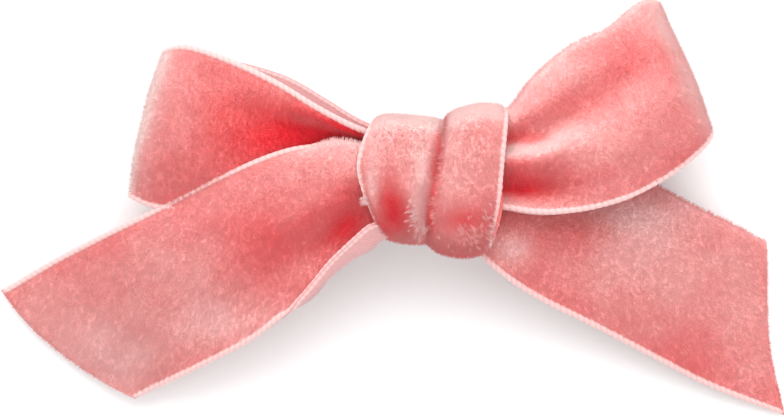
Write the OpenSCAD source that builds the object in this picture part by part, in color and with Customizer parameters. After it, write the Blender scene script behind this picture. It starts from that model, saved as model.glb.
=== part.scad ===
// Hair barrette: a sprung steel clip that carries a hand-tied velvet ribbon bow.
// X runs along the clip, hinge at -X and catch at +X. Y points to the top of the bow,
// Z out of its front. The origin is in the middle of the clasp arm's flat underside.

/* [Clip] */
// Overall length of the clip
clip_len = 62; // [50:1:75]
// Width of the base plate and of the clasp arm's head
base_w = 9; // [8:0.5:12]
// Sheet thickness of the base plate
base_t = 0.6; // [0.4:0.1:1]
// Rise of the base plate's crown above its flat ends
base_rise = 5; // [4:0.5:8]
// Length of the flat seat at each end of the base plate
end_flat = 7; // [6:0.5:9]
// Radius of the hollow bend between each seat and the crown
hollow_r = 12; // [8:1:16]
// Radius of the two sewing holes
sew_hole_r = 0.8; // [0.6:0.1:1]
// Distance of each sewing hole from the middle
sew_hole_x = 14; // [11:0.5:16]

/* [Hinge] */
// Radius of the hinge pin
pin_r = 0.8; // [0.6:0.05:1.1]
// Radial running clearance of the two eyes on the pin
pin_clear = 0.05; // [0.02:0.01:0.1]
// Side gap between neighbouring hinge pieces
side_gap = 0.2; // [0.1:0.05:0.4]
// Gap between the hinge eyes and the base plate
eye_gap = 1.7; // [1.5:0.1:3]
// Thickness of the hinge pin's peened heads
head_t = 0.4; // [0.3:0.1:0.6]

/* [Clasp arm] */
// Sheet thickness of the clasp arm
arm_t = 0.6; // [0.4:0.1:0.8]
// Step up from the arm's flat underside to its head
arm_step = 1.5; // [1.2:0.1:2]
// Bend radius of that step
step_r = 2.2; // [1.8:0.1:3]
// Length of the arm's head
head_len = 9.2; // [8:0.2:11]
// Width of the stiffening bead pressed along the arm
bead_w = 1.8; // [1.2:0.1:2.4]
// Height of the stiffening bead
bead_h = 0.25; // [0.15:0.05:0.4]
// Length in the middle of the arm that has no bead
bead_gap = 8; // [6:1:12]

/* [Tension bar] */
// Sheet thickness of the tension bar
bar_t = 0.4; // [0.3:0.05:0.5]
// Width of the tension bar
bar_w = 5.5; // [4:0.5:6.5]
// Radius that the tension bar is bowed to
bar_r = 110; // [100:5:130]
// Angle at which the tension bar leaves its eye
bar_angle = 15; // [13:0.5:15.5]

/* [Catch] */
// Sheet thickness of the catch
catch_t = 0.5; // [0.4:0.05:0.6]
// Width of each catch prong along the clip
prong_w = 3.6; // [3:0.2:4.4]
// Distance between the middles of the two prongs
prong_span = 5; // [4.6:0.2:5.4]
// Clearance of the prongs in the arm's window
window_gap = 0.2; // [0.15:0.05:0.3]
// How far each barb reaches under the window's edge
barb_bite = 0.4; // [0.25:0.05:0.5]
// Shank radius of the hollow rivet
rivet_r = 1; // [0.8:0.1:1.2]
// Head radius of the hollow rivet
rivet_head_r = 1.7; // [1.4:0.1:1.9]
// Head thickness of the hollow rivet
rivet_head_t = 0.3; // [0.2:0.05:0.4]

/* [Bow] */
// Width of the velvet ribbon
ribbon_w = 22; // [16:1:25]
// Thickness of the ribbon, cloth and pile together
ribbon_t = 1.3; // [0.9:0.1:1.4]
// Length of the knot along the clip
knot_len = 20; // [18:0.5:22]
// Height of the knot from top to bottom of the bow
knot_h = 20.5; // [19:0.5:22]
// Depth of the knot from back to front
knot_d = 12; // [12:0.5:14]
// Least thickness of the glue between clip and knot
glue_t = 0.3; // [0.2:0.1:0.6]
// Size of the glue pad along and across the clip
glue_size = [15, 7]; // [6:1:18]

/* [Hidden] */
$fn = 64;
e = 1;              // overshoot of cutting tools
fit = 0.02;         // line-to-line fit of pieces that never move on each other
run_gap = 0.2;      // gap between the knot and the ribbon runs that leave it
steel = "silver";
velvet = "lightcoral";

// Hinge: the arm's eyes set the pin's height, because the arm's underside is z = 0.
bore_r = pin_r + pin_clear;
arm_eye_r = bore_r + arm_t;
bar_eye_r = bore_r + bar_t;
ear_r = arm_eye_r - pin_clear;
pin_z = arm_eye_r;
pin_head_r = pin_r * 1.5;
pin_x = -clip_len / 2 + ear_r;
ear_in = base_w / 2 - base_t;              // inner face of each ear
arm_w = 2 * (ear_in - side_gap);
bar_eye_w = arm_w * 0.46;                  // the bar's eye takes a little less than half of the hinge
lug_in = bar_eye_w / 2 + side_gap;         // inner face of the arm's two lugs

// Base plate: flat seats, hollow bends and the crown, all tangent, along their middle line.
seat_z = pin_z + arm_eye_r + eye_gap;      // underside of the seats
mid_z = seat_z + base_t / 2;
seat_x = clip_len / 2 - end_flat;
crown_r = (seat_x * seat_x + base_rise * base_rise) / (2 * base_rise) - hollow_r;
crown_z = mid_z + base_rise - crown_r;     // height of the crown's centre
crown_top = mid_z + base_rise + base_t / 2;

// Catch: the prongs hang from the seat and pass through the head's window.
catch_x = clip_len / 2 - end_flat + 2;
catch_z = seat_z - catch_t;                // underside of the catch plate
prong_z = catch_z - catch_t / 2 - fit;     // bend line of the prongs
barb_z = arm_step - 0.05;                  // top of the barbs, just under the head
tip_z = 0.1;                               // tips of the prongs, just above the arm's underside
rivet_bore_r = rivet_r * 0.55;
window = [prong_w + 3 * window_gap, prong_span + catch_t + 2 * window_gap];
head_x = catch_x - head_len / 2;           // where the head starts
bar_tip_x = catch_x - window.x / 2 - 5;    // where the tension bar ends
step_a = acos(1 - arm_step / (2 * step_r));
step_len = 2 * step_r * sin(step_a);
lap = 0.2;                                 // degrees by which the step's two bends run into each other

// Bow: runs are drawn for a 22 mm ribbon on a 62 mm clip whose knot is centred 16.5 mm up. They grow along
// the clip with its length, across it with the ribbon's width, and in height with the knot's.
knot_z = crown_top + glue_t;               // back of the knot
glue_skirt = glue_size.x / 10;             // how far the glue reaches down round the crown
stretch = [clip_len / 62, ribbon_w / 22, (knot_z + knot_d / 2) / 16.5];
run_x = knot_len / 2 + run_gap;

// Each run is a row of cuts across the ribbon, from the knot outwards: [upper edge, middle, lower edge].
// The first and last x of a run that starts in the knot are replaced by run_x.
left_loop_cuts = [
    [[-10, 7.2, 15.4], [-10, 3.2, 15], [-10, -1.5, 14.6]],
    [[-18, 11.5, 16.6], [-18, 4, 14.3], [-18, -4, 12.8]],
    [[-27, 16.3, 17.3], [-28, 6.5, 14.3], [-29, -4.5, 11]],
    [[-34, 18.7, 16.6], [-36.5, 8, 13.4], [-38, -3.7, 9.3]],
    [[-37.5, 19.2, 13.2], [-40.8, 8, 10.6], [-42.5, -2.8, 7.7]],
    [[-34, 18.2, 9.8], [-37, 7.5, 8], [-38.5, -3.5, 6.2]],
    [[-27, 16.6, 9.5], [-28, 7, 8.8], [-29, -4, 7.6]],
    [[-18, 13.6, 11.2], [-18, 5, 11.2], [-18, -3.5, 10.6]],
    [[-10, 8.2, 13.3], [-10, 3.5, 13], [-10, -1.5, 12.6]]];
right_loop_cuts = [
    [[10, 8, 18], [10, 3, 19], [10, -3.5, 18.3]],
    [[16, 16.5, 18.3], [17, 6.5, 20.6], [17.5, -4.3, 18.4]],
    [[23, 20.7, 18.7], [25, 10, 20], [26, -2.8, 17.9]],
    [[28.5, 24.6, 16.7], [32.5, 13, 17.6], [35.5, 2.3, 15.8]],
    [[31.5, 25, 13.4], [36, 15.5, 13.4], [39.5, 6.5, 12.6]],
    [[28, 23.6, 9.9], [32, 12.5, 9.9], [35.5, 3, 9.9]],
    [[22, 19.3, 10.8], [24.5, 9, 10.4], [26, -2, 10.6]],
    [[15.5, 14.5, 13], [16.5, 6, 13], [17, -3.5, 13.3]],
    [[10, 8, 15.7], [10, 3, 15.9], [10, -3, 15.8]]];
left_tail_cuts = [
    [[-10, 5.4, 17.4], [-10, -1, 19], [-10, -7.6, 17.4]],
    [[-17, 5.8, 17], [-16.5, -3.5, 18.2], [-15, -12.8, 15.4]],
    [[-26, 3, 15], [-25, -8.5, 15], [-24, -20.5, 12.2]],
    [[-38, -3, 11.3], [-36, -14, 10.5], [-33, -25.3, 8.2]],
    [[-50, -9.3, 6.2], [-45.5, -19.5, 5.4], [-40.5, -29, 4]],
    [[-60.7, -15.5, 1.3], [-52, -23.8, 1.1], [-42.3, -29.8, 2.6]]];
right_tail_cuts = [
    [[10, 1, 13], [10, -4, 13.2], [10, -8.4, 13.6]],
    [[18, 3, 10.4], [16.5, -6.5, 11.6], [15, -15.6, 10.2]],
    [[28, 0.5, 8.2], [26.5, -10.5, 9.2], [24, -20.3, 7.7]],
    [[38, -4.4, 5], [35.5, -15.5, 6], [33, -25, 4.8]],
    [[43, -6.9, 3], [41, -18, 3.6], [40, -28.6, 2.9]],
    [[46.8, -8.9, 1.5], [47.3, -20, 1.1], [49.6, -32.5, 0.8]]];
across_steps = 6;
along_steps = 4;

// ---- Clip ----

// A stretch of sheet bent to an arc, seen from the side: middle-line radius r, thickness t.
module arc_sheet(centre, r, t, from, to) {
    fan = [for (i = [0:4]) let (a = from + (to - from) * i / 4) 2 * r * [cos(a), sin(a)]];
    translate(centre) intersection() {
        difference() {
            circle(r + t / 2, $fn = 200);
            circle(r - t / 2, $fn = 200);
        }
        polygon(concat([[0, 0]], fan));
    }
}

// Extrudes a side view across the clip, w wide, with its middle at y.
module across(w, y = 0) {
    translate([0, y + w / 2, 0]) rotate([90, 0, 0]) linear_extrude(w) children();
}

// A plate outline with round corners, seen from above.
module round_plate(size, r) {
    square([size.x - 2 * r, size.y], center = true);
    square([size.x, size.y - 2 * r], center = true);
    for (x = [-1, 1], y = [-1, 1])
        translate([x * (size.x / 2 - r), y * (size.y / 2 - r)]) circle(r);
}

// Everything from low up to the base plate's middle line moved up by rise: crown, hollow bends and seats.
module below_line(rise) {
    low = seat_z - e;
    hollow = [seat_x, mid_z + hollow_r];
    foot_x = seat_x * (low - crown_z) / (hollow.y - crown_z);
    intersection() {
        translate([0, crown_z]) circle(crown_r + rise, $fn = 200);
        translate([-seat_x, low]) square([2 * seat_x, crown_top]);
    }
    for (side = [0, 1]) mirror([side, 0]) difference() {
        polygon([[foot_x, low], hollow, [seat_x, low]]);
        translate(hollow) circle(hollow_r - rise, $fn = 200);
    }
    translate([-clip_len / 2, low]) square([clip_len, mid_z + rise - low]);
}

module base_side() {
    difference() {
        below_line(base_t / 2);
        below_line(-base_t / 2);
    }
}

module ear_side() {
    translate([pin_x, pin_z]) circle(ear_r);
    translate([pin_x - ear_r, pin_z]) square([2 * ear_r, seat_z + base_t - pin_z]);
}

module base_plate() {
    color(steel) difference() {
        union() {
            intersection() {
                across(base_w) base_side();
                translate([ear_r, 0, 0]) linear_extrude(crown_top + e)
                    round_plate([clip_len + 2 * ear_r, base_w], 2);
            }
            for (side = [-1, 1]) across(base_t, side * (base_w - base_t) / 2) ear_side();
        }
        across(base_w + 2 * e) translate([pin_x, pin_z]) circle(pin_r + fit);
        translate([catch_x, 0, seat_z - e]) cylinder(r = rivet_r + fit, h = base_t + 2 * e);
        for (side = [-1, 1]) translate([side * sew_hole_x, 0, 0]) cylinder(r = sew_hole_r, h = crown_top + e);
    }
}

module hinge_pin() {
    color(steel) {
        across(base_w + 2 * fit) translate([pin_x, pin_z]) circle(pin_r);
        for (side = [-1, 1])
            across(head_t, side * (base_w / 2 + fit + head_t / 2))
                translate([pin_x, pin_z]) circle(pin_head_r);
    }
}

module arm_side() {
    strip_end = head_x - step_len;
    translate([pin_x, 0]) square([strip_end - pin_x, arm_t]);
    arc_sheet([strip_end, arm_t / 2 + step_r], step_r, arm_t, 270, 270 + step_a + lap);
    arc_sheet([head_x, arm_step + arm_t / 2 - step_r], step_r, arm_t, 90, 90 + step_a + lap);
    translate([head_x, arm_step]) square([head_len, arm_t]);
}

module arm_plan() {
    translate([(pin_x - e + head_x + 2) / 2, 0]) square([head_x + 2 - pin_x + e, arm_w], center = true);
    translate([head_x + head_len / 2, 0]) round_plate([head_len, base_w], 1.6);
}

// Two beads with round ends, pressed up from the arm on each side of its middle, with their tops bead_h above z.
module beads(z) {
    r = (bead_w * bead_w / 4 + bead_h * bead_h) / (2 * bead_h);
    for (run = [[pin_x + 6, -bead_gap / 2], [bead_gap / 2, head_x - step_len - 4]])
        translate([0, 0, z + bead_h - r]) {
            translate([run[0], 0, 0]) rotate([0, 90, 0]) cylinder(r = r, h = run[1] - run[0]);
            for (x = run) translate([x, 0, 0]) sphere(r);
        }
}

module clasp_arm() {
    color(steel) difference() {
        union() {
            intersection() {
                across(base_w) arm_side();
                linear_extrude(arm_step + arm_t + e) arm_plan();
            }
            across(arm_w) translate([pin_x, pin_z]) circle(arm_eye_r);
            intersection() {
                beads(arm_t);
                translate([pin_x, -arm_w / 2, arm_t / 2]) cube([clip_len, arm_w, arm_t + bead_h]);
            }
        }
        intersection() {
            beads(0);
            translate([pin_x, -arm_w / 2, -e]) cube([clip_len, arm_w, e + bead_h]);
        }
        across(base_w + 2 * e) translate([pin_x, pin_z]) circle(bore_r);
        across(2 * lug_in) translate([pin_x - 2 * arm_eye_r, -e])
            square([3 * arm_eye_r + side_gap, pin_z + arm_eye_r + 2 * e]);
        translate([catch_x, 0, arm_step - e]) linear_extrude(arm_t + 2 * e)
            round_plate(window, 0.4);
    }
}

module tension_bar() {
    reach = bar_r - bar_eye_r + bar_t / 2;
    centre = [pin_x + reach * sin(bar_angle), pin_z - reach * cos(bar_angle)];
    shoulder_x = pin_x + arm_eye_r + 1;
    tip_a = 90 - asin((bar_tip_x - centre.x) / bar_r);
    color(steel) difference() {
        union() {
            across(bar_eye_w) translate([pin_x, pin_z]) circle(bar_eye_r);
            intersection() {
                across(bar_w) arc_sheet(centre, bar_r, bar_t, tip_a, 90 + bar_angle);
                linear_extrude(crown_top) {
                    translate([pin_x - 2, -bar_eye_w / 2]) square([8, bar_eye_w]);
                    translate([shoulder_x, 0]) bar_plan(bar_tip_x - shoulder_x);
                }
            }
        }
        across(base_w) translate([pin_x, pin_z]) circle(bore_r);
    }
}

// The tension bar from above, len long from x = 0, with shoulders at its start and a round tip.
module bar_plan(len) {
    translate([len / 2, 0]) round_plate([len, bar_w], 1.2);
}

module catch_plate() {
    color(steel) difference() {
        translate([catch_x, 0, catch_z]) linear_extrude(catch_t)
            round_plate([prong_w + 1, prong_span + catch_t], 0.4);
        translate([catch_x, 0, catch_z - e]) cylinder(r = rivet_r + fit, h = catch_t + 2 * e);
    }
}

// One prong, seen along the clip, at the side where y is above 0.
module prong_end_view() {
    inner = (prong_span - catch_t) / 2;
    outer = inner + catch_t;
    barb = outer + window_gap + barb_bite;
    translate([prong_span / 2, prong_z]) circle(catch_t / 2);
    polygon([[inner, prong_z], [inner, tip_z + 0.15], [inner + 0.15, tip_z], [outer, tip_z],
             [barb, barb_z - 0.35], [barb, barb_z - 0.05], [outer, barb_z], [outer, prong_z]]);
}

module prong() {
    color(steel) translate([catch_x - prong_w / 2, 0, 0])
        rotate([90, 0, 90]) linear_extrude(prong_w) prong_end_view();
}

module catch_rivet() {
    top = seat_z + base_t + fit;
    bottom = catch_z - fit;
    color(steel) translate([catch_x, 0, 0]) difference() {
        union() {
            translate([0, 0, bottom]) cylinder(r = rivet_r, h = top - bottom);
            translate([0, 0, top]) cylinder(r1 = rivet_head_r, r2 = rivet_head_r - 0.2, h = rivet_head_t);
            translate([0, 0, bottom - rivet_head_t])
                cylinder(r1 = rivet_head_r - 0.4, r2 = rivet_head_r - 0.2, h = rivet_head_t);
        }
        translate([0, 0, bottom - e]) cylinder(r = rivet_bore_r, h = top - bottom + 2 * e);
    }
}

// ---- Bow ----

module stadium(w, d) {
    square([w - d, d], center = true);
    for (side = [-1, 1]) translate([side * (w - d) / 2, 0]) circle(d / 2);
}

// A band or block along the clip whose end view is its children, centred on the knot.
module knot_extrude() {
    translate([-knot_len / 2, 0, knot_z + knot_d / 2]) rotate([90, 0, 90]) linear_extrude(knot_len) children();
}

module knot_wrap() {
    color(velvet) knot_extrude() difference() {
        stadium(knot_h, knot_d);
        stadium(knot_h - 2 * ribbon_t, knot_d - 2 * ribbon_t);
    }
}

module knot_core() {
    color(velvet) knot_extrude() stadium(knot_h - 2 * ribbon_t - fit, knot_d - 2 * ribbon_t - fit);
}

// The glue fills the space between the crown and the flat back of the knot, down to its own thickness at its ends.
module glue_pad() {
    color("ivory") difference() {
        translate([0, 0, crown_top - glue_skirt]) linear_extrude(glue_t + glue_skirt) round_plate(glue_size, 2);
        across(2 * base_w) translate([0, crown_z]) circle(crown_r + base_t / 2 + fit, $fn = 200);
    }
}

function spline(a, b, c, d, t) =
    0.5 * (2 * b + (c - a) * t + (2 * a - 5 * b + 4 * c - d) * t * t + (3 * b - a - 3 * c + d) * t * t * t);
function along(line, u) =
    let (last = len(line) - 1, i = min(floor(u), last - 1))
    spline(line[max(i - 1, 0)], line[i], line[i + 1], line[min(i + 2, last)], u - i);
function column(cuts, k) = [for (cut = cuts) cut[k]];
function place(p) = [abs(p.x) == 10 ? sign(p.x) * run_x : p.x * stretch.x, p.y * stretch.y, p.z * stretch.z];
function on_ribbon(cuts, u, s) =
    let (upper = along(column(cuts, 0), u), middle = along(column(cuts, 1), u), lower = along(column(cuts, 2), u))
    middle + s * (upper - lower) / 2 + s * s * ((upper + lower) / 2 - middle);
function unit(v) = v / norm(v);
function ribbon_normal(cuts, u, s) =
    let (last = len(cuts) - 1, d = 0.02)
    unit(cross(on_ribbon(cuts, min(u + d, last), s) - on_ribbon(cuts, max(u - d, 0), s),
               on_ribbon(cuts, u, min(s + d, 1)) - on_ribbon(cuts, u, max(s - d, -1))));

// A closed strip of ribbon through a row of cuts.
module ribbon(drawn) {
    cuts = [for (cut = drawn) [for (p = cut) place(p)]];
    rows = (len(cuts) - 1) * along_steps;
    grid = [for (i = [0:rows], j = [0:across_steps]) [i / along_steps, 2 * j / across_steps - 1]];
    points = [for (side = [0.5, -0.5], g = grid)
        let (n = ribbon_normal(cuts, g[0], g[1]))
        let (edge = (g[0] == 0 || g[0] == len(cuts) - 1) ? unit([0, n.y, n.z]) : n)
        on_ribbon(cuts, g[0], g[1]) + side * ribbon_t * edge];
    n = across_steps + 1;
    under = (rows + 1) * n;
    faces = concat(
        [for (i = [0:rows - 1], j = [0:n - 2]) let (a = i * n + j) each
            [[a, a + 1, a + n], [a + 1, a + n + 1, a + n],
             [under + a, under + a + n, under + a + 1], [under + a + 1, under + a + n, under + a + n + 1]]],
        [for (i = [0:rows - 1]) let (a = i * n, b = i * n + n - 1) each
            [[a, a + n, under + a], [a + n, under + a + n, under + a],
             [b, under + b, b + n], [b + n, under + b, under + b + n]]],
        [for (j = [0:n - 2]) let (a = j, b = rows * n + j) each
            [[a, under + a, a + 1], [a + 1, under + a, under + a + 1],
             [b, b + 1, under + b], [b + 1, under + b + 1, under + b]]]);
    color(velvet) polyhedron(points, faces);
}

base_plate();
catch_plate();
catch_rivet();
prong();  // catch_prong_rear
mirror([0, 1, 0]) prong();  // catch_prong_front
hinge_pin();
clasp_arm();
tension_bar();
glue_pad();
knot_core();
knot_wrap();
ribbon(left_loop_cuts);  // left_loop
ribbon(right_loop_cuts);  // right_loop
ribbon(left_tail_cuts);  // left_tail
ribbon(right_tail_cuts);  // right_tail
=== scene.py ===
"""A sprung hair barrette that carries a hand-tied bow of pink velvet ribbon."""

import math

import bpy
import numpy as np
from bpy.props import FloatProperty, FloatVectorProperty, PointerProperty
from bpy.types import Operator, Panel, PropertyGroup
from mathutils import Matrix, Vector


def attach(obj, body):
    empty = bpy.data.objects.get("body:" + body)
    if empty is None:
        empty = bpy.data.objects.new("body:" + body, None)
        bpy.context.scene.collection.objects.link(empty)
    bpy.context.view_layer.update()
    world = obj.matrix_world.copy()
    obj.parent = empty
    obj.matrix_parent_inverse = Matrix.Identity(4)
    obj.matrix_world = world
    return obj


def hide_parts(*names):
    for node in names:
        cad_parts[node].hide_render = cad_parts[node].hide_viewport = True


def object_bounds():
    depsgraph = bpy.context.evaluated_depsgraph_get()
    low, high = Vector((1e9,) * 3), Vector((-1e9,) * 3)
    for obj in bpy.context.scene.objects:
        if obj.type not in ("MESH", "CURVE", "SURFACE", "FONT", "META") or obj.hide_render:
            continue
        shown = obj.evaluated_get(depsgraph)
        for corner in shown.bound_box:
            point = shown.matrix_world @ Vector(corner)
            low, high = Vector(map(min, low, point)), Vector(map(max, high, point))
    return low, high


bl_info = {
    "name": "Velvet bow barrette",
    "version": (1, 0, 0),
    "blender": (4, 5, 0),
    "location": "3D View > Sidebar > Barrette",
    "description": "Builds the ribbon, pile and finishes of a velvet bow barrette around its clip",
    "category": "Object",
}

MM = 0.001

# The point that the camera looks straight down at, its height and the width that the camera frames there.
CAMERA_PLACE = (-5.8 * MM, -3.6 * MM)
FRAMED_HEIGHT = 8 * MM
FRAMED_WIDTH = 111.2 * MM
# Each light's name, place, size and power.
LIGHTS = (("key", (-0.1, 0.6, 0.65), 0.9, 6.2), ("fill", (0.1, 0.2, 0.95), 1.2, 3.1))

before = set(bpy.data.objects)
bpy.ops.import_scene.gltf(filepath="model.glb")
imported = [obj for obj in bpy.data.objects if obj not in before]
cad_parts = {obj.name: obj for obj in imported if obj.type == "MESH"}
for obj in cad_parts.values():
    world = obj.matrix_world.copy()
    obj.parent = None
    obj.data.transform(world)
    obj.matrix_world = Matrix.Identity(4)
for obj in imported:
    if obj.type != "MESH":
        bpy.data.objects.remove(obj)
cad_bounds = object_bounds()

# The ribbon's runs, as rows across it from the knot outwards, and back to the knot in the loops. Each point
# is x, y and height in millimetres, from the ribbon's upper edge to its lower edge. A row has as many points
# as its folds need.
LEFT_TAIL = (
    ((-5, 4.2, 15), (-5, 3.6, 17), (-5, -1.5, 18.2), (-5, -4.8, 16.4), (-5, -6.8, 16), (-5.8, -5.2, 17.8)),
    ((-8, 4.6, 15), (-8, 4.4, 17.2), (-8, -0.6, 18.8), (-8, -5, 16.2), (-7.4, -7.9, 16.2),
     (-8.8, -5.7, 18.2)),
    ((-10.6, 5, 15.2), (-10.7, 5.4, 17.2), (-10.8, 0.4, 19), (-10.4, -5.4, 15.8), (-9.4, -9.4, 15.8),
     (-10.7, -7.1, 18)),
    ((-14.4, 5.5, 16), (-14.7, 5.8, 17.7), (-15, 2.6, 18.5), (-15, -2.8, 18), (-14.4, -8, 14.8),
     (-13.2, -11.9, 15), (-14.3, -10.6, 17)),
    ((-20.2, 5, 16.4), (-20.6, 1.2, 17.2), (-20.4, -5, 16.9), (-19.6, -11.4, 14.2), (-17.6, -16, 14.4),
     (-18.2, -15.2, 15.4)),
    ((-28.4, 1.9, 14.9), (-28.4, -3.6, 15), (-27.6, -9.6, 14.4), (-26.2, -16.2, 12.6),
     (-24.5, -21.5, 12.4)),
    ((-40.2, -4, 10.8), (-38.8, -9.6, 11.2), (-37.2, -15.2, 10.6), (-35.6, -21.2, 9.4),
     (-34.1, -26.7, 8.6)),
    ((-52.2, -9.9, 5.4), (-49.2, -14.8, 5.7), (-46.2, -19.9, 5.5), (-43, -24.9, 5), (-40, -29.5, 4.6)),
    ((-61.6, -15.3, 1.4), (-57.4, -20.4, 1.6), (-52.6, -24.5, 1.8), (-47.4, -28.1, 2.4),
     (-42.4, -30.7, 3.6)),
)
RIGHT_TAIL = (
    ((5, 1, 12.8), (5, -3.6, 13.4), (5, -8, 13)),
    ((10.4, 2, 12.4), (10.4, -2.2, 13.4), (10, -6.6, 12.8), (8.2, -11.8, 13)),
    ((18.2, 3, 10.4), (17.4, -3.4, 11.5), (16.2, -9.8, 11.2), (14.3, -16.1, 10.6)),
    ((28.4, 0.2, 7), (28.4, 0.8, 8.4), (27.4, -6.2, 9.2), (26, -13.4, 9), (24, -21, 7.8)),
    ((36.9, -4.4, 4.4), (37.2, -3.7, 5.9), (36, -11, 6.4), (34.4, -18.4, 6.2), (32.9, -25.7, 5)),
    ((42.8, -7.1, 2.2), (43.1, -6.4, 3.6), (42, -14, 4), (40.9, -21.6, 3.9), (39.9, -29.2, 3)),
    ((47.3, -9.2, 0.9), (47.6, -8.6, 1.9), (47.7, -16.4, 1.5), (48.2, -24, 1.3), (50.2, -33.1, 1)),
)
LEFT_LOOP = (
    ((-5, 6.4, 15), (-5, 4, 13.4), (-5, -1.8, 12.8)),
    ((-10, 7.7, 16.8), (-10, 6.6, 16), (-10.1, 5.6, 14), (-10.2, 3.2, 13.4), (-10.4, -1.8, 13.2)),
    ((-16, 10.8, 17.7), (-16.3, 9.2, 17.4), (-16.8, 6.8, 15.4), (-17, 3.6, 14.3), (-17.2, -3.5, 13.4)),
    ((-22, 14.4, 17.6), (-22.6, 11.8, 17.4), (-23.3, 8.4, 16), (-23.8, 4, 15.2), (-24.2, -4, 13.6)),
    ((-29, 17.7, 17), (-30.4, 11.6, 16.6), (-31.2, 4.6, 15.6), (-32, -4, 12.4)),
    ((-34.8, 19.5, 15.8), (-36.6, 12, 15.7), (-38.2, 4.2, 14.4), (-39.2, -3.6, 11.2)),
    ((-38, 18.8, 12.8), (-40.2, 11.8, 12.5), (-42.1, 4.2, 11.4), (-43.1, -2, 9.2)),
    ((-35.4, 18.2, 9.9), (-37, 11.4, 9.4), (-38.6, 4, 8.7), (-39.8, -3, 7.6)),
    ((-28.6, 17.4, 9.4), (-29.8, 7, 8.9), (-30.6, -3.6, 8)),
    ((-21, 15.2, 10.8), (-21.4, 6, 10.8), (-21.6, -3, 10.4)),
    ((-15, 11.9, 12.4), (-15, 5.2, 12.1), (-15, -1.6, 12)),
    ((-10, 8.9, 13.4), (-10, 4.2, 12.4), (-10, -0.8, 12.2)),
    ((-5, 7, 13.4), (-5, 3.4, 12.2), (-5, -0.6, 12)),
)
RIGHT_LOOP = (
    ((5, 8.4, 15), (5, 8.2, 17), (5, 5.4, 17.2), (5, 3.2, 18.9), (5, -0.4, 16.6), (5, -3, 17)),
    ((10.2, 10, 14.6), (10.3, 10, 16.8), (10.4, 8, 18), (10.5, 5.3, 17), (10.6, 3.5, 19.7), (10.6, 1, 18.2),
     (10.6, -1.4, 16.2), (10.4, -3.6, 17.8)),
    ((13.9, 14.2, 15), (14.1, 14.5, 17), (14.9, 11, 18.4), (15.3, 6.3, 17.4), (15.4, 4, 19.7),
     (15.4, 1.1, 18.5), (15.4, -1.8, 16.8), (15.2, -4.3, 18)),
    ((19, 18.5, 15.2), (19.3, 19, 17), (20, 15, 18.2), (20.6, 9.6, 17.6), (21, 5.8, 19.3), (21.2, 2.1, 19),
     (21.2, -1, 18), (21, -4, 17.8)),
    ((24.1, 20.8, 15.2), (24.4, 21.3, 17), (25.4, 17, 17.8), (26, 13, 17.6), (26.6, 9, 18.8), (27, 5, 18.9),
     (27.2, 1.2, 18), (27.2, -2.4, 17.4)),
    ((27.7, 24, 14.8), (28.1, 24.4, 16.4), (29.6, 19.8, 17.3), (30.6, 15.6, 17.6), (32, 10.4, 18.1),
     (33, 4.8, 17.2), (33.4, 0.8, 16.2)),
    ((29.9, 25.2, 13.8), (30.2, 25.7, 15), (31.8, 21, 16.2), (33.8, 16.2, 16.5), (35.7, 11, 16.3),
     (37, 7.4, 15.6), (37.9, 4.4, 14.6)),
    ((31.6, 25, 12), (31.9, 25.3, 12.8), (33.8, 21, 12.9), (35.7, 16.8, 13), (37.6, 12.4, 13),
     (39.6, 6.6, 12.4)),
    ((29, 24.4, 9.8), (32.8, 17.6, 9.5), (35.6, 10.6, 9.6), (37.4, 4.6, 10.2)),
    ((24, 20.6, 9.9), (26.6, 11.6, 9.6), (28.8, -0.8, 10.4)),
    ((17.6, 16.6, 11.6), (19, 7, 11.8), (19.6, -3.2, 12.2)),
    ((10.4, 9.4, 14), (10.4, 3, 14.4), (10.4, -3, 15)),
    ((5, 7, 14), (5, 2.6, 14.4), (5, -2.4, 15)),
)
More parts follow.
